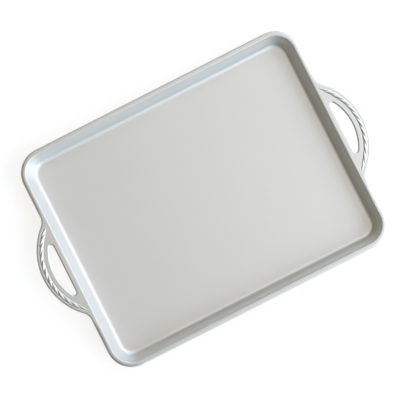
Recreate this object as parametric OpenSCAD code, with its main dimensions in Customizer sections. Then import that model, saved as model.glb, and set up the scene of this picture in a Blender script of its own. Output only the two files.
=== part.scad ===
// Jelly roll pan: a shallow baking tray with a thick rim and a rope-trimmed handle at each end.
// The real pan is one casting, so its regions meet face to face with no gap and no fastener.
// X runs along the pan, Z is up, and the origin is on the table under the middle of the pan.

/* [Tray] */
// Length of the rim, between its outer edges
rim_length = 406; // [340:1:480]
// Width of the rim, between its outer edges
rim_width = 316; // [260:1:380]
// Radius of the corners, at the rim's outer edge
corner_r = 34; // [30:1:60]
// Depth inside, from the top of the rim to the baking surface
inside_depth = 25; // [20:0.5:40]
// Thickness of the floor
floor_t = 3.5; // [2.5:0.1:5]
// Thickness of the side wall
wall_t = 3.5; // [2.5:0.1:5]
// Angle by which the side wall leans outwards
wall_draft = 16; // [8:0.5:24]
// Radius between the baking surface and the inside of the wall
floor_fillet = 8; // [4:0.5:10]
// Radius between the underside and the outside of the wall
base_round = 10; // [5:0.5:11]
// Radius between the outside of the wall and the underside of the rim
shoulder_fillet = 2.5; // [1:0.1:4]

/* [Rim] */
// Width of the rim, from its outer edge to its inner edge
rim_band = 7.2; // [6.5:0.1:10]
// Thickness of the rim and of the handles, which lie flush with it
rim_t = 6; // [5.6:0.1:9]
// Radius that rounds the outer edges of the rim and handles
edge_round = 2.7; // [1.5:0.1:2.7]
// Radius that rounds the inner edge of the rim
inner_round = 1.4; // [0.6:0.1:2]

/* [Handles] */
// How far each handle stands out beyond the rim
handle_reach = 33; // [30:0.5:36]
// Radius of each handle's outer edge
handle_r = 87; // [84:0.5:94]
// Width of the handle's band, between the outer edge and the slot
handle_band = 17; // [15:0.5:18]
// Radius of the hollow curve where the handle's outer edge runs into the rim
handle_blend = 16; // [8:0.5:20]
// Radius at the two ends of the finger slot
slot_end_r = 3; // [2.9:0.1:4.5]
// Distance from the line of the rim's outer edge to the straight side of the slot
slot_offset = 1.2; // [0.6:0.1:3]

/* [Rope trim] */
// Distance from the handle's outer edge to the middle of the rope
rope_inset = 6.6; // [6.1:0.1:8]
// Width of the rope
rope_w = 6.4; // [4.5:0.1:6.8]
// Height of the rope above the handle
rope_h = 1.8; // [1:0.1:3]
// Distance between neighbouring strands, along the rope
strand_pitch = 11.5; // [8:0.25:14]
// Angle between the strands and the rope
strand_lay = 21; // [15:1:40]
// Depth of the valleys between the strands, as a share of the rope's height
strand_cut = 0.5; // [0.2:0.05:0.8]
// How far each end of the rope runs in past the rim's outer edge
rope_run_in = 2.1; // [-4:0.1:2.6]
// Length over which each end of the rope tapers
rope_taper = 18; // [8:1:24]

/* [Hidden] */
$fn = 96;
metal = [0.80, 0.81, 0.80];
floor_metal = [0.76, 0.77, 0.76];
rope_metal = [0.86, 0.86, 0.84];

// Heights
rim_top = floor_t + inside_depth;
rim_under = rim_top - rim_t;

// The wall's section is drawn with its inset from the rim's outer edge along the first axis
// and its height along the second
function inset_inside(z) = rim_band + (rim_top - z) * tan(wall_draft);
function inset_outside(z) = inset_inside(z) - wall_t / cos(wall_draft);
into_wall = [-cos(wall_draft), -sin(wall_draft)];
corner_share = tan((90 - wall_draft) / 2);
fillet_centre = [
    inset_inside(floor_t) + floor_fillet * corner_share,
    floor_t + floor_fillet
];
base_centre = [inset_outside(0) + base_round * corner_share, base_round];
// The wall keeps a narrow strip of flat floor, so its joint with the floor lies clear of the fillet
floor_toe = 3;
floor_inset = max(fillet_centre.x, base_centre.x) + floor_toe;
shoulder_share = tan((90 + wall_draft) / 2);
shoulder_centre = [
    inset_outside(rim_under) - shoulder_fillet / shoulder_share,
    rim_under - shoulder_fillet
];
crest_centre = [rim_band - inner_round * corner_share, rim_top - inner_round];

// Places in plan, for the handle on the right. Curves that run into each other overlap by a hair.
hair = 0.02;
edge_x = rim_length / 2;
handle_x = edge_x + handle_reach - handle_r;
slot_r = handle_r - handle_band;
function centre_near(x, distance) = [x, sqrt(pow(distance, 2) - pow(x - handle_x, 2))];
slot_side_x = edge_x + slot_offset;
slot_end = centre_near(slot_side_x + slot_end_r - hair, slot_r - slot_end_r + hair);
slot_end_angle = atan2(slot_end.y, slot_end.x - handle_x);
blend_centre = centre_near(edge_x + handle_blend, handle_r + handle_blend - hair);
blend_angle = atan2(blend_centre.y, blend_centre.x - handle_x);
overcut = 1;
// Each handle's root fills a notch in the rim, and ends where the curves beside it are still a
// little way off the rim's edge
root_depth = edge_round + 0.6;
root_x = edge_x - root_depth;
root_half = blend_centre.y - 2;
// Degrees by which the rounding of a long edge stops short of the next curve's own rounding
outer_stop = 0.8;
slot_stop = 0.5;
// How far the rounding of the slot's straight side stops short of the curves at its ends
side_stop = 0.3;
// Degrees by which the rounding of a short curve carries on past its ends
run_out = 10;
// Share of a rounding's radius that its centre lies from the flat faces beside it
centre_share = 0.98;
// How far the waste at a corner reaches past that corner, as a share of the way from the centre
corner_excess = 0.2;

// Rope
rope_r = handle_r - rope_inset;
rope_half_angle = acos((edge_x - rope_run_in - handle_x) / rope_r);
rope_arc = rope_r * rope_half_angle * PI / 180;
steps_a_strand = 8;
rope_steps = round(2 * rope_arc / strand_pitch * steps_a_strand);
across_steps = 8;
end_width_share = 0.22;

// What to take away along an outer edge of the rim or handle, at its top and at its underside.
// The rounding meets the flat faces at a slight angle, as a cast edge does.
module edge_waste() {
    centre = edge_round * centre_share;
    for (face = [0, 1]) {
        translate([0, face * (rim_top + rim_under)]) mirror([0, face])
            difference() {
                translate([-overcut, rim_top - centre]) square(centre + overcut);
                translate([centre, rim_top - centre]) circle(edge_round);
            }
    }
}

// Runs a section once round the pan, with square-on straights and quarter-turn corners
module round_the_pan() {
    straights = [
        [rim_length / 2, rim_width - 2 * corner_r, 0],
        [rim_width / 2, rim_length - 2 * corner_r, 90],
        [rim_length / 2, rim_width - 2 * corner_r, 180],
        [rim_width / 2, rim_length - 2 * corner_r, 270]
    ];
    for (run = straights) {
        rotate(run[2])
            translate([run[0], run[1] / 2, 0])
                rotate([90, 0, 0])
                    linear_extrude(run[1]) mirror([1, 0]) children();
        rotate(run[2])
            translate([run[0] - corner_r, run[1] / 2, 0])
                rotate_extrude(angle = 90) translate([corner_r, 0]) mirror([1, 0]) children();
    }
}

// Runs a section round part of a circle, from one angle to another
module round_an_arc(centre, from, to) {
    translate(centre) rotate(from) rotate_extrude(angle = to - from) children();
}

// A rectangle with round corners, seen from above
module round_rectangle(length, width, radius) {
    square([length, width - 2 * radius], center = true);
    square([length - 2 * radius, width], center = true);
    for (side_x = [-1, 1]) {
        for (side_y = [-1, 1]) {
            translate([side_x * (length / 2 - radius), side_y * (width / 2 - radius)])
                circle(radius);
        }
    }
}

module wall_section() {
    foot = [inset_inside(floor_t), floor_t];
    base = [inset_outside(0), 0];
    shoulder = [inset_outside(rim_under), rim_under];
    down_wall = [sin(wall_draft), -cos(wall_draft)];
    difference() {
        union() {
            polygon([
                shoulder,
                [inset_inside(rim_under), rim_under],
                foot,
                [floor_inset, floor_t],
                [floor_inset, 0],
                base
            ]);
            difference() {
                polygon([
                    fillet_centre + floor_fillet * into_wall,
                    foot,
                    [fillet_centre.x, floor_t]
                ]);
                translate(fillet_centre) circle(floor_fillet);
            }
            difference() {
                polygon([
                    [shoulder_centre.x, rim_under],
                    shoulder,
                    shoulder + down_wall * shoulder_fillet / shoulder_share
                ]);
                translate(shoulder_centre) circle(shoulder_fillet);
            }
        }
        difference() {
            polygon([
                base_centre + base_round * into_wall,
                base + (base - base_centre) * corner_excess,
                [base_centre.x, 0]
            ]);
            translate(base_centre) circle(base_round);
        }
    }
}

module rim_section() {
    crest = [rim_band, rim_top];
    difference() {
        polygon([
            [0, rim_under],
            [0, rim_top],
            crest,
            [inset_inside(rim_under), rim_under]
        ]);
        edge_waste();
        difference() {
            polygon([
                [crest_centre.x, rim_top],
                crest + (crest - crest_centre) * corner_excess,
                crest_centre - inner_round * into_wall
            ]);
            translate(crest_centre) circle(inner_round);
        }
    }
}

// A strip across the handle, seen from above, from one place along X to the handle's tip
module across_handle(from_x, half_width) {
    translate([from_x, -half_width]) square([2 * handle_reach, 2 * half_width]);
}

// The finger slot, seen from above
module slot_outline() {
    reach = 2 * handle_r;
    intersection() {
        translate([handle_x, 0]) circle(slot_r);
        across_handle(slot_side_x, slot_end.y);
        polygon([
            [handle_x, 0],
            [handle_x + reach, reach * tan(slot_end_angle)],
            [handle_x + reach, -reach * tan(slot_end_angle)]
        ]);
    }
    translate([slot_side_x, -slot_end.y])
        square([slot_end.x - slot_side_x, 2 * slot_end.y]);
    for (side = [-1, 1]) {
        translate([slot_end.x, side * slot_end.y]) circle(slot_end_r);
    }
}

// One handle with its root, seen from above
module handle_outline() {
    inside_share = 0.9;
    inside_tangent = inside_share * handle_r * [cos(blend_angle), sin(blend_angle)];
    difference() {
        intersection() {
            union() {
                translate([handle_x, 0]) circle(handle_r);
                polygon([
                    [root_x, -blend_centre.y],
                    [blend_centre.x, -blend_centre.y],
                    [handle_x + inside_tangent.x, -inside_tangent.y],
                    [handle_x + inside_tangent.x, inside_tangent.y],
                    [blend_centre.x, blend_centre.y],
                    [root_x, blend_centre.y]
                ]);
            }
            across_handle(root_x, root_half);
        }
        for (side = [-1, 1]) {
            translate([blend_centre.x, side * blend_centre.y]) circle(handle_blend);
        }
        slot_outline();
    }
}

module handle() {
    difference() {
        translate([0, 0, rim_under]) linear_extrude(rim_t) handle_outline();
        round_an_arc([handle_x, 0], outer_stop - blend_angle, blend_angle - outer_stop)
            translate([handle_r, 0]) mirror([1, 0]) edge_waste();
        round_an_arc([handle_x, 0], slot_stop - slot_end_angle, slot_end_angle - slot_stop)
            translate([slot_r, 0]) edge_waste();
        translate([slot_side_x, 0, 0]) rotate([90, 0, 0])
            linear_extrude(2 * (slot_end.y - side_stop), center = true) mirror([1, 0]) edge_waste();
        for (side = [0, 1]) {
            mirror([0, side, 0]) {
                round_an_arc(blend_centre, 180 - run_out, 180 + blend_angle + run_out)
                    translate([handle_blend, 0]) edge_waste();
                round_an_arc(slot_end, slot_end_angle - run_out, 180 + run_out)
                    translate([slot_end_r, 0]) edge_waste();
            }
        }
    }
}

// The notch in the rim that the root of one handle fills
module root_notch() {
    translate([root_x, -root_half, rim_under - overcut])
        cube([2 * root_depth, 2 * root_half, rim_t + 2 * overcut]);
}

// Rope relief: a point at a share of its length and a share of its width
function taper_at(along) = min(1, (1 - abs(2 * along - 1)) * rope_arc / rope_taper);
function width_at(along) =
    rope_w * (end_width_share + (1 - end_width_share) * sin(90 * taper_at(along)));
function strand_wave(turns) = pow(2 * (turns - floor(turns)) - 1, 2);
function strand_turns(along, offset) =
    ((2 * along - 1) * rope_arc + offset / tan(strand_lay)) / strand_pitch;
function rope_height(along, across) =
    let (
        offset = across * width_at(along) / 2,
        dome = sqrt(max(0, 1 - across * across)),
        swell = end_width_share + (1 - end_width_share) * taper_at(along)
    )
    rope_h * dome * swell * (1 - strand_cut * strand_wave(strand_turns(along, offset)));
function rope_point(along, across) =
    let (
        angle = (2 * along - 1) * rope_half_angle,
        radius = rope_r + across * width_at(along) / 2
    )
    [
        handle_x + radius * cos(angle),
        radius * sin(angle),
        rim_top + rope_height(along, across)
    ];

module rope_trim() {
    row = across_steps + 1;
    points = [
        for (i = [0 : rope_steps])
            for (j = [0 : across_steps])
                rope_point(i / rope_steps, -cos(180 * j / across_steps))
    ];
    skin = [
        for (i = [0 : rope_steps - 1])
            for (j = [0 : across_steps - 1])
                for (half = [0, 1])
                    half == 0
                        ? [i * row + j, i * row + j + 1, (i + 1) * row + j + 1]
                        : [i * row + j, (i + 1) * row + j + 1, (i + 1) * row + j]
    ];
    sole = [
        for (i = [0 : rope_steps - 1])
            for (half = [0, 1])
                half == 0
                    ? [i * row, (i + 1) * row, (i + 1) * row + across_steps]
                    : [i * row, (i + 1) * row + across_steps, i * row + across_steps]
    ];
    caps = [
        [for (j = [across_steps : -1 : 0]) j],
        [for (j = [0 : across_steps]) rope_steps * row + j]
    ];
    polyhedron(points = points, faces = concat(skin, sole, caps), convexity = 4);
}

module baking_floor() {
    color(floor_metal)
        linear_extrude(floor_t)
            round_rectangle(
                rim_length - 2 * floor_inset,
                rim_width - 2 * floor_inset,
                corner_r - floor_inset
            );
}

module side_wall() {
    color(metal) round_the_pan() wall_section();
}

module rim() {
    color(metal)
        difference() {
            round_the_pan() rim_section();
            for (side = [0, 1]) {
                mirror([side, 0, 0]) root_notch();
            }
        }
}

module left_handle() {
    color(metal) mirror([1, 0, 0]) handle();
}

module right_handle() {
    color(metal) handle();
}

module left_rope_trim() {
    color(rope_metal) mirror([1, 0, 0]) rope_trim();
}

module right_rope_trim() {
    color(rope_metal) rope_trim();
}

baking_floor();
side_wall();
rim();
left_handle();
right_handle();
left_rope_trim();
right_rope_trim();
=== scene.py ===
import math

import bmesh
import bpy
import numpy as np
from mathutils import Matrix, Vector
from mathutils.geometry import delaunay_2d_cdt


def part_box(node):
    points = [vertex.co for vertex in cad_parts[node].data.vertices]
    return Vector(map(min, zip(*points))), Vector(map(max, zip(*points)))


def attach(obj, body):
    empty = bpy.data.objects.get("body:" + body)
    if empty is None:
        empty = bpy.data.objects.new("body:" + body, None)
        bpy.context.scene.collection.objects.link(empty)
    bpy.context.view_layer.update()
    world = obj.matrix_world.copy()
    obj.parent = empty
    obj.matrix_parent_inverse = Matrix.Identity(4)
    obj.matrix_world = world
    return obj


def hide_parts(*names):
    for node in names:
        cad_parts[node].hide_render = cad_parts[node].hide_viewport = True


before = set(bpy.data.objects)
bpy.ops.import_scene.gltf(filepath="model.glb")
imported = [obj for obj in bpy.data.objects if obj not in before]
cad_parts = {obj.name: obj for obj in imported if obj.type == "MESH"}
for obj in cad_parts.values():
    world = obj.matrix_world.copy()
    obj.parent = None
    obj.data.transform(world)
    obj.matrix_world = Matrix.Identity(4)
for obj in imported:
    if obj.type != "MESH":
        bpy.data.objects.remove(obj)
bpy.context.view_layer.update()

# Sizes that the frame gives, in metres
MM = 0.001
RIM_LOW, RIM_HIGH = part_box("rim")
FLOOR_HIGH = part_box("baking_floor")[1]
EDGE_X = RIM_HIGH.x
EDGE_Y = RIM_HIGH.y
RIM_TOP = RIM_HIGH.z
RIM_UNDER = RIM_LOW.z
FLOOR_TOP = FLOOR_HIGH.z
FLOOR_INSET = EDGE_X - FLOOR_HIGH.x
TIP_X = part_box("right_handle")[1].x
ROPE_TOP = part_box("right_rope_trim")[1].z

# Tray
CORNER_R = 34 * MM
WALL_T = 3.5 * MM
WALL_DRAFT = math.radians(16)
FLOOR_FILLET = 8 * MM
BASE_ROUND = 10 * MM
SHOULDER_FILLET = 2.5 * MM

# Rim. Its outer rounding goes on round the handles, and is wider where the rim is bare. The root is
# the part of a handle that fills a notch in the rim.
RIM_BAND = 7.2 * MM
CREST_ROUND = 2.4 * MM
EDGE_DROP = 2.1 * MM
EDGE_WIDTH = 2.6 * MM
BARE_EDGE_WIDTH = 4.2 * MM
BARE_FADE = 14 * MM
ROOT_DEPTH = 3.3 * MM

# Handles. A gutter is the shallow groove along each side of the rope.
HANDLE_R = 87 * MM
HANDLE_BAND = 17 * MM
HANDLE_BLEND = 16 * MM
SLOT_END_R = 3 * MM
SLOT_OFFSET = 1.2 * MM
SLOT_CHAMFER_WIDTH = 1.7 * MM
SLOT_CHAMFER_DROP = 1 * MM
SLOT_UNDER_ROUND = 1.5 * MM
GUTTER_WIDTH = 0.65 * MM
GUTTER_DEPTH = 0.35 * MM

# Rope trim. Between its strands it is lower by the cut and narrower by the scallop, as shares. Its
# ends run in over the rim and thin out along the taper, and its sole is sunk by the seat.
ROPE_INSET = 7 * MM
ROPE_W = 6 * MM
STRAND_PITCH = 11.5 * MM
STRAND_LAY = math.radians(21)
STRAND_CUT = 0.5
STRAND_SCALLOP = 0.06
STRAND_STRAIGHT_SHARE = 0.5
ROPE_END_WIDTH_SHARE = 0.1
ROPE_END_HEIGHT_SHARE = 0.15
ROPE_RUN_IN = 2.1 * MM
ROPE_TAPER = 18 * MM
ROPE_SEAT = 0.7 * MM

# Fineness of the meshes: steps in each rounding, and distances between points along an edge
CORNER_STEPS = 40
FLOOR_FILLET_STEPS = 24
BASE_ROUND_STEPS = 20
SHOULDER_STEPS = 10
CREST_STEPS = 14
EDGE_STEPS = 16
UNDER_EDGE_STEPS = 12
BARE_FADE_STEPS = 7
SLOT_SIDE_STEPS = 24
LONG_ARC_STEP = 1.2 * MM
BLEND_ARC_STEP = 0.8 * MM
SLOT_END_STEP = 0.4 * MM
STEPS_A_STRAND = 22
ROPE_ACROSS_STEPS = 20

# Handles' flat faces: steps of their grid outwards and along the arc, and its distance from edges
TOP_GRID = (0.3 * MM, 1.1 * MM, 0.2 * MM)
UNDER_GRID = (2.5 * MM, 3 * MM, 1.2 * MM)

# Joints sharper than these angles stay sharp, in degrees
CASTING_SHARP_ANGLE = 35
HANDLE_SHARP_ANGLE = 28
ROPE_SHARP_ANGLE = 60

# Aluminium's surface: how fine each noise is, and how far and how strongly it raises the surface
CLOUD_SCALE = 14
GLOSS_SCALE = 55
PIT_SCALE = 420
PIT_HEIGHT = 0.15 * MM
PIT_STRENGTH = 0.2
GRAIN_SCALE = 1500
GRAIN_HEIGHT = 0.06 * MM
GRAIN_STRENGTH = 0.25
NOISE_LOW = 0.3
NOISE_HIGH = 0.7

# Camera: its place in metres, its turn in radians, its lens and sensor in millimetres
CAMERA_PLACE = Vector((0.0117, -0.054, RIM_TOP + 1.742))
CAMERA_TURN = (0.0237, 0.0225, -0.4688)
CAMERA_LENS = 119.5
CAMERA_SENSOR = 36

# Ground
GROUND_HALF_WIDTH = 6
GROUND_TONE = 0.45
GROUND_ROUGHNESS = 0.9
GROUND_GLOW = 0.7

# Lights: name, compass angle from the pan's right, height angle, strength, colour.
# The broad ones stand for windows and pale walls far away, the softboxes hang near the pan.
BROAD_LIGHTS = (
    ("window_near", -45, 35, 1.06, (0.84, 1.0, 1.2)),
    ("window_far", 45, 35, 0.61, (0.79, 1.0, 1.26)),
    ("window_high", -45, 58, 0.21, (1.2, 1.0, 0.92)),
    ("near_wall", -90, 35, 0.35, (0.79, 1.0, 1.14)),
    ("far_wall", 90, 58, 0.24, (1.2, 1.0, 0.81)),
)
SOFTBOXES = (
    ("softbox_overhead", 0, 90, 0.105, (0.96, 1.0, 1.08)),
    ("softbox_window", 0, 35, 0.26, (0.96, 1.0, 1.03)),
)
BROAD_SPREAD = math.radians(40)
SOFTBOX_WIDTH = 0.85
SOFTBOX_DISTANCE = 1.15
SOFTBOX_WATTS = 13
WALL_GLOW = 0.1
WALL_COLOUR = (1.13, 1.0, 0.45)


def corner_share(lean):
    """How far along a side a rounding starts, as a share of its radius"""
    return math.tan((math.pi / 2 - lean) / 2)


def inset_inside(z):
    return RIM_BAND + (RIM_TOP - z) * math.tan(WALL_DRAFT)


def inset_outside(z):
    return inset_inside(z) - WALL_T / math.cos(WALL_DRAFT)


# Places in plan, for the handle on the right
HANDLE_X = TIP_X - HANDLE_R
SLOT_R = HANDLE_R - HANDLE_BAND


def centre_near(x, distance):
    return Vector((x, math.sqrt(distance ** 2 - (x - HANDLE_X) ** 2)))


ROOT_X = EDGE_X - ROOT_DEPTH
SLOT_SIDE_X = EDGE_X + SLOT_OFFSET
SLOT_END = centre_near(SLOT_SIDE_X + SLOT_END_R, SLOT_R - SLOT_END_R)
SLOT_END_ANGLE = math.atan2(SLOT_END.y, SLOT_END.x - HANDLE_X)
BLEND_CENTRE = centre_near(EDGE_X + HANDLE_BLEND, HANDLE_R + HANDLE_BLEND)
BLEND_ANGLE = math.atan2(BLEND_CENTRE.y, BLEND_CENTRE.x - HANDLE_X)
ROPE_R = HANDLE_R - ROPE_INSET
ROPE_HALF_ANGLE = math.acos((EDGE_X - ROPE_RUN_IN - HANDLE_X) / ROPE_R)
ROPE_ARC = ROPE_R * ROPE_HALF_ANGLE
ROPE_H = ROPE_TOP - RIM_TOP


def smooth(share):
    share = min(1, max(0, share))
    return share * share * (3 - 2 * share)


def arc(centre, radii, start, end, steps):
    """Points along part of an ellipse, from one angle to another, in degrees"""
    points = []
    for i in range(steps + 1):
        angle = math.radians(start + (end - start) * i / steps)
        points.append(Vector((centre[0] + radii[0] * math.cos(angle),
                              centre[1] + radii[1] * math.sin(angle))))
    return points


def mesh_piece(name, vertices, faces, sharp_angle=CASTING_SHARP_ANGLE):
    """One closed mesh, with its doubled points joined, its faces outwards and its joints sharp"""
    doubled_within = 0.002 * MM
    shortest_edge = 0.001 * MM
    mesh = bpy.data.meshes.new(name)
    mesh.from_pydata([tuple(v) for v in vertices], [], faces)
    work = bmesh.new()
    work.from_mesh(mesh)
    bmesh.ops.remove_doubles(work, verts=work.verts, dist=doubled_within)
    bmesh.ops.dissolve_degenerate(work, edges=work.edges, dist=shortest_edge)
    bmesh.ops.recalc_face_normals(work, faces=work.faces)
    work.to_mesh(mesh)
    work.free()
    mesh.shade_smooth()
    mesh.set_sharp_from_angle(angle=math.radians(sharp_angle))
    piece = bpy.data.objects.new(name, mesh)
    bpy.context.scene.collection.objects.link(piece)
    return piece


def weight_normals(piece):
    """Keeps the flat stretches flat in the shading, beside their roundings"""
    weights = piece.modifiers.new("flat_stretches", "WEIGHTED_NORMAL")
    weights.keep_sharp = True


def stations_round_the_pan(end_places):
    """Where a section stands on its way round: a spot on the line of the corners' centres, the way
    out, and its place along the side. The pan's two ends have the places given."""
    reach_x = EDGE_X - CORNER_R
    reach_y = EDGE_Y - CORNER_R
    sides = [(reach_x, reach_y, end_places), (reach_y, reach_x, [])] * 2
    stations = []
    for turn, (out, half, places) in enumerate(sides):
        heading = turn * math.pi / 2
        ahead = Vector((math.cos(heading), math.sin(heading)))
        aside = Vector((-ahead.y, ahead.x))
        for place in places:
            stations.append((ahead * out + aside * place[0], ahead, place))
        corner = ahead * out + aside * half
        for i in range(CORNER_STEPS + 1):
            angle = heading + math.pi / 2 * i / CORNER_STEPS
            stations.append((corner, Vector((math.cos(angle), math.sin(angle))), (half, False)))
    return stations


def sweep_round_the_pan(name, section_at, stations):
    """Runs a closed section round the pan, where the section may change with its place"""
    vertices = []
    for base, outwards, place in stations:
        for inset, height in section_at(place):
            spot = base + outwards * (CORNER_R - inset)
            vertices.append((spot.x, spot.y, height))
    count = len(vertices) // len(stations)
    faces = []
    for i in range(len(stations)):
        here = i * count
        there = (i + 1) % len(stations) * count
        for j in range(count):
            k = (j + 1) % count
            faces.append((here + j, there + j, there + k, here + k))
    return mesh_piece(name, vertices, faces)


def root_places():
    """Places along an end of the rim, and whether they lie in a handle's root. Where the root begins
    and ends, the place is doubled."""
    end = BLEND_CENTRE.y
    beyond = [(end + BARE_FADE * i / BARE_FADE_STEPS, False) for i in range(BARE_FADE_STEPS, 0, -1)]
    one_side = beyond + [(end, False), (end, True)]
    return [(-y, rooted) for y, rooted in one_side] + one_side[::-1]


def wall_section(place):
    """The side wall with its strip of floor, as points of inset and height, alike at every place"""
    share = corner_share(WALL_DRAFT)
    fillet = (inset_inside(FLOOR_TOP) + FLOOR_FILLET * share, FLOOR_TOP + FLOOR_FILLET)
    base = (inset_outside(0) + BASE_ROUND * share, BASE_ROUND)
    shoulder_share = math.tan((math.pi / 2 + WALL_DRAFT) / 2)
    shoulder = (inset_outside(RIM_UNDER) - SHOULDER_FILLET / shoulder_share,
                RIM_UNDER - SHOULDER_FILLET)
    lean = math.degrees(WALL_DRAFT)
    return (
        [(FLOOR_INSET, FLOOR_TOP)]
        + arc(fillet, (FLOOR_FILLET, FLOOR_FILLET), 270, 180 + lean, FLOOR_FILLET_STEPS)
        + [(inset_inside(RIM_UNDER), RIM_UNDER)]
        + arc(shoulder, (SHOULDER_FILLET, SHOULDER_FILLET), 90, lean, SHOULDER_STEPS)
        + arc(base, (BASE_ROUND, BASE_ROUND), 180 + lean, 270, BASE_ROUND_STEPS)
        + [(FLOOR_INSET, 0)]
    )


def edge_profile(width, drop, under, steps=EDGE_STEPS):
    """An edge rounded above and below, as points of inset and height, from the top down. A single
    step makes the upper rounding a chamfer."""
    return (
        arc((width, RIM_TOP - drop), (width, drop), 90, 180, steps)
        + arc((width, RIM_UNDER + under), (width, under), 180, 270, UNDER_EDGE_STEPS)
    )


def rim_section(place):
    """The rim, as points of inset and height. Its outer points fall back where a root fills it."""
    along, rooted = place
    bareness = smooth((abs(along) - BLEND_CENTRE.y) / BARE_FADE)
    width = EDGE_WIDTH + (BARE_EDGE_WIDTH - EDGE_WIDTH) * bareness
    lean = math.degrees(WALL_DRAFT)
    crest = (RIM_BAND - CREST_ROUND * corner_share(WALL_DRAFT), RIM_TOP - CREST_ROUND)
    outer = edge_profile(width, EDGE_DROP, EDGE_DROP)
    if rooted:
        outer = [(max(ROOT_DEPTH, inset), height) for inset, height in outer]
    return (
        [(inset_inside(RIM_UNDER), RIM_UNDER)]
        + arc(crest, (CREST_ROUND, CREST_ROUND), lean, 90, CREST_STEPS)
        + outer
        + [(ROOT_DEPTH, RIM_UNDER)]
    )


def make_rim():
    stations = stations_round_the_pan(root_places())
    return sweep_round_the_pan("rim_casting", rim_section, stations)


def make_side_wall():
    stations = stations_round_the_pan([])
    return sweep_round_the_pan("side_wall_casting", wall_section, stations)


def make_floor():
    """The floor plate, with rounded corners"""
    reach = CORNER_R - FLOOR_INSET
    outline = []
    for turn in range(4):
        side_x = (EDGE_X - CORNER_R) * (1 if turn in (0, 3) else -1)
        side_y = (EDGE_Y - CORNER_R) * (1 if turn < 2 else -1)
        outline += arc((side_x, side_y), (reach, reach), 90 * turn, 90 * turn + 90, CORNER_STEPS)
    count = len(outline)
    vertices = [(p.x, p.y, FLOOR_TOP) for p in outline] + [(p.x, p.y, 0) for p in outline]
    faces = [tuple(range(count)), tuple(range(2 * count - 1, count - 1, -1))]
    for i in range(count):
        k = (i + 1) % count
        faces.append((i, count + i, count + k, k))
    return mesh_piece("baking_floor_casting", vertices, faces)


def edge_run(centre, radius, start, end, step, hollow):
    """Places along an edge that curves round a centre, each with its way out of the metal"""
    steps = max(2, round(abs(math.radians(end - start)) * radius / step))
    run = []
    for p in arc(centre, (radius, radius), start, end, steps):
        away = (p - Vector(centre)).normalized()
        run.append((p, -away if hollow else away))
    return run


def outer_edge():
    """The handle's outer edge, from root to root"""
    blend = math.degrees(BLEND_ANGLE)
    upper, lower = BLEND_CENTRE, Vector((BLEND_CENTRE.x, -BLEND_CENTRE.y))
    return (
        edge_run(upper, HANDLE_BLEND, 180, 180 + blend, BLEND_ARC_STEP, True)
        + edge_run((HANDLE_X, 0), HANDLE_R, blend, -blend, LONG_ARC_STEP, False)[1:]
        + edge_run(lower, HANDLE_BLEND, 180 - blend, 180, BLEND_ARC_STEP, True)[1:]
    )


def slot_edge():
    """The edge of the finger slot, once round"""
    slot_end = math.degrees(SLOT_END_ANGLE)
    upper, lower = SLOT_END, Vector((SLOT_END.x, -SLOT_END.y))
    side = [(Vector((SLOT_SIDE_X, SLOT_END.y * (1 - 2 * i / SLOT_SIDE_STEPS))), Vector((1, 0)))
            for i in range(1, SLOT_SIDE_STEPS)]
    return (
        edge_run(lower, SLOT_END_R, 180, 360 - slot_end, SLOT_END_STEP, True)
        + edge_run((HANDLE_X, 0), SLOT_R, -slot_end, slot_end, LONG_ARC_STEP, True)[1:]
        + edge_run(upper, SLOT_END_R, slot_end, 180, SLOT_END_STEP, True)[1:]
        + side
    )


def taper_at(along):
    """How full the rope is, at a place from -1 to 1 along its half length"""
    return min(1, (1 - abs(along)) * ROPE_ARC / ROPE_TAPER)


def rope_half_width(along):
    swell = math.sin(math.pi / 2 * taper_at(along))
    return ROPE_W / 2 * (ROPE_END_WIDTH_SHARE + (1 - ROPE_END_WIDTH_SHARE) * swell)


def web_height(x, y):
    """The top of the handle, which has a shallow gutter along each side of the rope"""
    angle = math.atan2(y, x - HANDLE_X)
    along = angle / ROPE_HALF_ANGLE
    if abs(along) > 1:
        return RIM_TOP
    radius = math.hypot(x - HANDLE_X, y)
    beyond = (abs(radius - ROPE_R) - rope_half_width(along)) / GUTTER_WIDTH
    return RIM_TOP - GUTTER_DEPTH * taper_at(along) * (1 - smooth(beyond))


def underside_height(x, y):
    """The underside of the handle, which is flat"""
    return RIM_UNDER


def polar_grid(radial_step, arc_step):
    """Points of a polar grid round the handle's centre"""
    points = []
    outermost = HANDLE_R + HANDLE_BLEND
    innermost = ROOT_X - HANDLE_X
    past_the_blend = 1.2
    angle_limit = past_the_blend * BLEND_ANGLE
    angle_steps = round(2 * angle_limit * HANDLE_R / arc_step)
    for i in range(round((outermost - innermost) / radial_step)):
        radius = innermost + i * radial_step
        for j in range(angle_steps + 1):
            angle = angle_limit * (2 * j / angle_steps - 1)
            points.append((HANDLE_X + radius * math.cos(angle), radius * math.sin(angle)))
    return np.array(points)


def compare_with_outline(points, outline, clearance):
    """Which points lie inside an outline, by how often a line from each crosses it, and which lie
    clear of it"""
    least_square = 1e-18
    ends = np.roll(outline, -1, axis=0)
    inside = np.zeros(len(points), bool)
    clear = np.ones(len(points), bool)
    for a, b in zip(outline, ends):
        crosses = (a[1] > points[:, 1]) != (b[1] > points[:, 1])
        rise = b[1] - a[1] if b[1] != a[1] else 1
        inside ^= crosses & (points[:, 0] < a[0] + (points[:, 1] - a[1]) / rise * (b[0] - a[0]))
        side = b - a
        share = np.clip((points - a) @ side / max(side @ side, least_square), 0, 1)
        gap = points - a - share[:, None] * side
        clear &= np.einsum("ij,ij->i", gap, gap) > clearance ** 2
    return inside, clear


def inside_outline(points, outline, clearance):
    inside, clear = compare_with_outline(points, outline, clearance)
    return inside & clear


def outside_outline(points, outline, clearance):
    inside, clear = compare_with_outline(points, outline, clearance)
    return ~inside & clear


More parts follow.
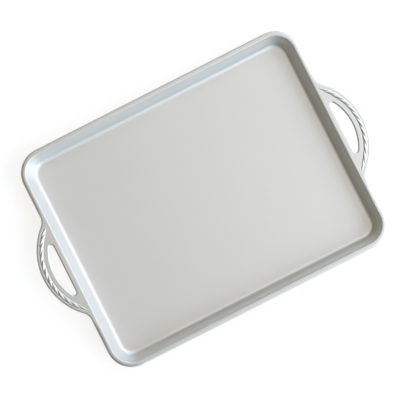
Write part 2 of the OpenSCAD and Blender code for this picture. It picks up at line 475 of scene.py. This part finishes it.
def fill_outline(loops, grid, clearance):
    """Triangles that fill an outline but not the hole in it, with the grid's points between"""
    outline, hole = [np.array([tuple(p) for p in loop]) for loop in loops]
    between = inside_outline(grid, outline, clearance) & outside_outline(grid, hole, clearance)
    points = [Vector(p) for p in np.vstack([outline, hole, grid[between]])]
    rings = [list(range(len(outline))), list(range(len(outline), len(outline) + len(hole)))]
    fill_inside = 1
    nearness = 1e-9
    found = delaunay_2d_cdt(points, [], rings, fill_inside, nearness)
    corners, triangles = found[0], found[2]
    middles = np.array([np.mean([corners[k] for k in triangle], axis=0) for triangle in triangles])
    kept = outside_outline(middles, hole, 0)
    return corners, [triangle for triangle, keep in zip(triangles, kept) if keep]


def edge_strip(run, profile, closed):
    """The rounded strip along an edge, from the top round to the underside"""
    count = len(profile)
    vertices = []
    for place, outwards in run:
        for inset, height in profile:
            spot = place - outwards * inset
            vertices.append((spot.x, spot.y, height))
    faces = []
    for i in range(len(run) if closed else len(run) - 1):
        here = i * count
        there = (i + 1) % len(run) * count
        for j in range(count - 1):
            faces.append((here + j, here + j + 1, there + j + 1, there + j))
    return vertices, faces


def close_root(vertices, faces, run_length):
    """Closes the two ends of the outer edge's strip, and the face between them inside the rim"""
    count = len(vertices) // run_length
    for end, y in ((0, BLEND_CENTRE.y), (run_length - 1, -BLEND_CENTRE.y)):
        cap = [end * count + j for j in range(count)]
        faces.append(tuple(cap + [len(vertices), len(vertices) + 1]))
        vertices += [(ROOT_X, y, RIM_UNDER), (ROOT_X, y, RIM_TOP)]
    first = len(vertices) - 4
    faces.append((first, first + 2, first + 3, first + 1))


def handle_mesh():
    """The right handle, as vertices and faces"""
    outer, slot = outer_edge(), slot_edge()
    vertices, faces = edge_strip(outer, edge_profile(EDGE_WIDTH, EDGE_DROP, EDGE_DROP), False)
    close_root(vertices, faces, len(outer))
    slot_profile = edge_profile(SLOT_CHAMFER_WIDTH, SLOT_CHAMFER_DROP, SLOT_UNDER_ROUND, steps=1)
    strip, strip_faces = edge_strip(slot, slot_profile, True)
    faces += [tuple(len(vertices) + k for k in face) for face in strip_faces]
    vertices += strip
    loops = (
        [place - outwards * EDGE_WIDTH for place, outwards in outer]
        + [Vector((ROOT_X, -BLEND_CENTRE.y)), Vector((ROOT_X, BLEND_CENTRE.y))],
        [place - outwards * SLOT_CHAMFER_WIDTH for place, outwards in slot],
    )
    for grid, height_at in ((TOP_GRID, web_height), (UNDER_GRID, underside_height)):
        radial_step, arc_step, clearance = grid
        points, triangles = fill_outline(loops, polar_grid(radial_step, arc_step), clearance)
        start = len(vertices)
        vertices += [(p.x, p.y, height_at(p.x, p.y)) for p in points]
        faces += [tuple(start + k for k in triangle) for triangle in triangles]
    return vertices, faces


def strand_turns(along, across):
    """How many strands have gone by, at a place along and across the rope"""
    bend = math.asin(max(-1, min(1, across))) * 2 / math.pi
    lead = STRAND_STRAIGHT_SHARE * across + (1 - STRAND_STRAIGHT_SHARE) * bend
    return (along * ROPE_ARC + lead * ROPE_W / 2 / math.tan(STRAND_LAY)) / STRAND_PITCH


def rope_point(along, across):
    """A point on the rope's upper surface, with its strands"""
    turns = strand_turns(along, across)
    wave = (2 * (turns - math.floor(turns)) - 1) ** 2
    fullness = taper_at(along)
    half_width = rope_half_width(along) * (1 - STRAND_SCALLOP * wave)
    radius = ROPE_R + across * half_width
    dome = math.sqrt(max(0, 1 - across * across))
    rise = math.sin(math.pi / 2 * fullness)
    swell = ROPE_END_HEIGHT_SHARE + (1 - ROPE_END_HEIGHT_SHARE) * rise
    height = ROPE_H * dome * swell * (1 - STRAND_CUT * wave)
    angle = along * ROPE_HALF_ANGLE
    return (HANDLE_X + radius * math.cos(angle), radius * math.sin(angle),
            RIM_TOP - GUTTER_DEPTH * fullness * (1 - dome) + height)


def rope_mesh():
    """The rope on the right handle: its strands, and a sole sunk into the handle"""
    steps = round(2 * ROPE_ARC / STRAND_PITCH * STEPS_A_STRAND)
    vertices = []
    faces = []
    for i in range(steps + 1):
        along = 2 * i / steps - 1
        row = [rope_point(along, -math.cos(math.pi * j / ROPE_ACROSS_STEPS))
               for j in range(ROPE_ACROSS_STEPS + 1)]
        first, last = row[0], row[-1]
        row.append((last[0], last[1], RIM_TOP - ROPE_SEAT))
        row.append((first[0], first[1], RIM_TOP - ROPE_SEAT))
        vertices += row
    count = ROPE_ACROSS_STEPS + 3
    for i in range(steps):
        for j in range(count):
            k = (j + 1) % count
            faces.append((i * count + j, i * count + k, (i + 1) * count + k, (i + 1) * count + j))
    faces.append(tuple(range(count)))
    faces.append(tuple(steps * count + j for j in range(count)))
    return vertices, faces


def mirror_in_x(vertices):
    return [(-x, y, z) for x, y, z in vertices]


class Nodes:
    """Adds nodes to a material, and joins them"""

    def __init__(self, name):
        self.material = bpy.data.materials.new(name)
        self.material.use_nodes = True
        self.tree = self.material.node_tree
        self.shader = self.tree.nodes["Principled BSDF"]
        self.place = self.tree.nodes.new("ShaderNodeTexCoord").outputs["Object"]

    def add(self, kind):
        return self.tree.nodes.new(kind)

    def join(self, output, socket):
        self.tree.links.new(output, socket)

    def noise(self, scale, detail):
        node = self.add("ShaderNodeTexNoise")
        node.inputs["Scale"].default_value = scale
        node.inputs["Detail"].default_value = detail
        self.join(self.place, node.inputs["Vector"])
        return node.outputs["Fac"]

    def spread(self, value, low, high, to_low, to_high):
        node = self.add("ShaderNodeMapRange")
        for name, number in zip(("From Min", "From Max", "To Min", "To Max"),
                                (low, high, to_low, to_high)):
            node.inputs[name].default_value = number
        self.join(value, node.inputs["Value"])
        return node.outputs["Result"]

    def ramp(self, value, stops):
        node = self.add("ShaderNodeValToRGB")
        for element, (place, colour) in zip(node.color_ramp.elements, stops):
            element.position = place
            element.color = (*colour, 1)
        self.join(value, node.inputs["Fac"])
        return node.outputs["Color"]

    def bump(self, height, strength, distance, normal=None):
        node = self.add("ShaderNodeBump")
        node.inputs["Strength"].default_value = strength
        node.inputs["Distance"].default_value = distance
        self.join(height, node.inputs["Height"])
        if normal is not None:
            self.join(normal, node.inputs["Normal"])
        return node.outputs["Normal"]


def cast_metal(name, colour, unevenness, roughness):
    """Satin cast aluminium: a fine sandy grain, with slow and faint changes in tone and gloss"""
    nodes = Nodes(name)
    nodes.shader.inputs["Metallic"].default_value = 1.0
    cloud = nodes.noise(CLOUD_SCALE, detail=4)
    dark, light = [[c * (1 + turn * unevenness) for c in colour] for turn in (-1, 1)]
    tone = nodes.ramp(cloud, [(NOISE_LOW, dark), (NOISE_HIGH, light)])
    nodes.join(tone, nodes.shader.inputs["Base Color"])
    gloss = nodes.spread(nodes.noise(GLOSS_SCALE, detail=5), NOISE_LOW, NOISE_HIGH,
                         roughness - unevenness, roughness + unevenness)
    nodes.join(gloss, nodes.shader.inputs["Roughness"])
    pits = nodes.bump(nodes.noise(PIT_SCALE, detail=2), PIT_STRENGTH, PIT_HEIGHT)
    grain = nodes.bump(nodes.noise(GRAIN_SCALE, detail=3), GRAIN_STRENGTH, GRAIN_HEIGHT, pits)
    nodes.join(grain, nodes.shader.inputs["Normal"])
    return nodes.material


def dress(piece, material, slot, *nodes):
    """Gives a piece its material, hangs it under the root body and hides the solids that it stands
    for. Its slot is not used.
    """
    piece.data.materials.append(material)
    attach(piece, "root")
    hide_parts(*nodes)


def make_camera():
    """High above the pan, nearly straight down, and turned as the photograph shows it"""
    data = bpy.data.cameras.new("camera")
    data.lens = CAMERA_LENS
    data.sensor_width = CAMERA_SENSOR
    camera = bpy.data.objects.new("camera", data)
    bpy.context.scene.collection.objects.link(camera)
    camera.location = CAMERA_PLACE
    camera.rotation_euler = CAMERA_TURN
    bpy.context.scene.camera = camera


def make_ground():
    mesh = bpy.data.meshes.new("studio_floor")
    half = GROUND_HALF_WIDTH
    mesh.from_pydata([(-half, -half, 0), (half, -half, 0), (half, half, 0), (-half, half, 0)],
                     [], [(0, 1, 2, 3)])
    floor = bpy.data.objects.new("studio_floor", mesh)
    bpy.context.scene.collection.objects.link(floor)
    material = bpy.data.materials.new("studio_white")
    material.use_nodes = True
    shader = material.node_tree.nodes["Principled BSDF"]
    shader.inputs["Base Color"].default_value = (GROUND_TONE, GROUND_TONE, GROUND_TONE, 1)
    shader.inputs["Roughness"].default_value = GROUND_ROUGHNESS
    shader.inputs["Emission Color"].default_value = (1, 1, 1, 1)
    shader.inputs["Emission Strength"].default_value = GROUND_GLOW
    mesh.materials.append(material)


def place_light(data, name, compass, height, strength, colour, distance):
    data.energy = strength
    data.color = colour
    light = bpy.data.objects.new(name, data)
    bpy.context.scene.collection.objects.link(light)
    around, up = math.radians(compass), math.radians(height)
    towards = Vector((math.cos(around) * math.cos(up), math.sin(around) * math.cos(up),
                      math.sin(up)))
    light.location = towards * distance
    light.rotation_euler = towards.to_track_quat("Z", "Y").to_euler()


def make_light():
    """Soft light from one side of the room, with a dark side opposite"""
    for name, compass, height, strength, colour in BROAD_LIGHTS:
        data = bpy.data.lights.new(name, "SUN")
        data.angle = BROAD_SPREAD
        place_light(data, name, compass, height, strength, colour, 2 * SOFTBOX_DISTANCE)
    for name, compass, height, strength, colour in SOFTBOXES:
        data = bpy.data.lights.new(name, "AREA")
        data.shape = "DISK"
        data.size = SOFTBOX_WIDTH
        place_light(data, name, compass, height, strength * SOFTBOX_WATTS, colour, SOFTBOX_DISTANCE)
    world = bpy.data.worlds.new("studio")
    bpy.context.scene.world = world
    world.use_nodes = True
    background = world.node_tree.nodes["Background"]
    background.inputs["Color"].default_value = (*WALL_COLOUR, 1)
    background.inputs["Strength"].default_value = WALL_GLOW
    bpy.context.scene.view_settings.view_transform = "Standard"


def main():
    make_camera()
    make_ground()
    make_light()
    body = cast_metal("cast_aluminium", (0.85, 0.85, 0.85), unevenness=0.01, roughness=0.5)
    baking = cast_metal("baking_surface_aluminium", (0.85, 0.845, 0.835),
                        unevenness=0.004, roughness=0.56)
    rope = cast_metal("rope_aluminium", (0.86, 0.86, 0.855), unevenness=0.01, roughness=0.45)

    dress(make_floor(), baking, "baking_surface", "baking_floor")
    wall = make_side_wall()
    weight_normals(wall)
    dress(wall, body, "cast_body", "side_wall")
    rim = make_rim()
    weight_normals(rim)
    dress(rim, body, "cast_body", "rim")

    vertices, faces = handle_mesh()
    strands, strand_faces = rope_mesh()
    for side, turn in (("right", list), ("left", mirror_in_x)):
        handle = mesh_piece(side + "_handle_casting", turn(vertices), faces, HANDLE_SHARP_ANGLE)
        dress(handle, body, "cast_body", side + "_handle")
        trim = mesh_piece(side + "_rope_strands", turn(strands), strand_faces, ROPE_SHARP_ANGLE)
        dress(trim, rope, "rope_relief", side + "_rope_trim")


main()
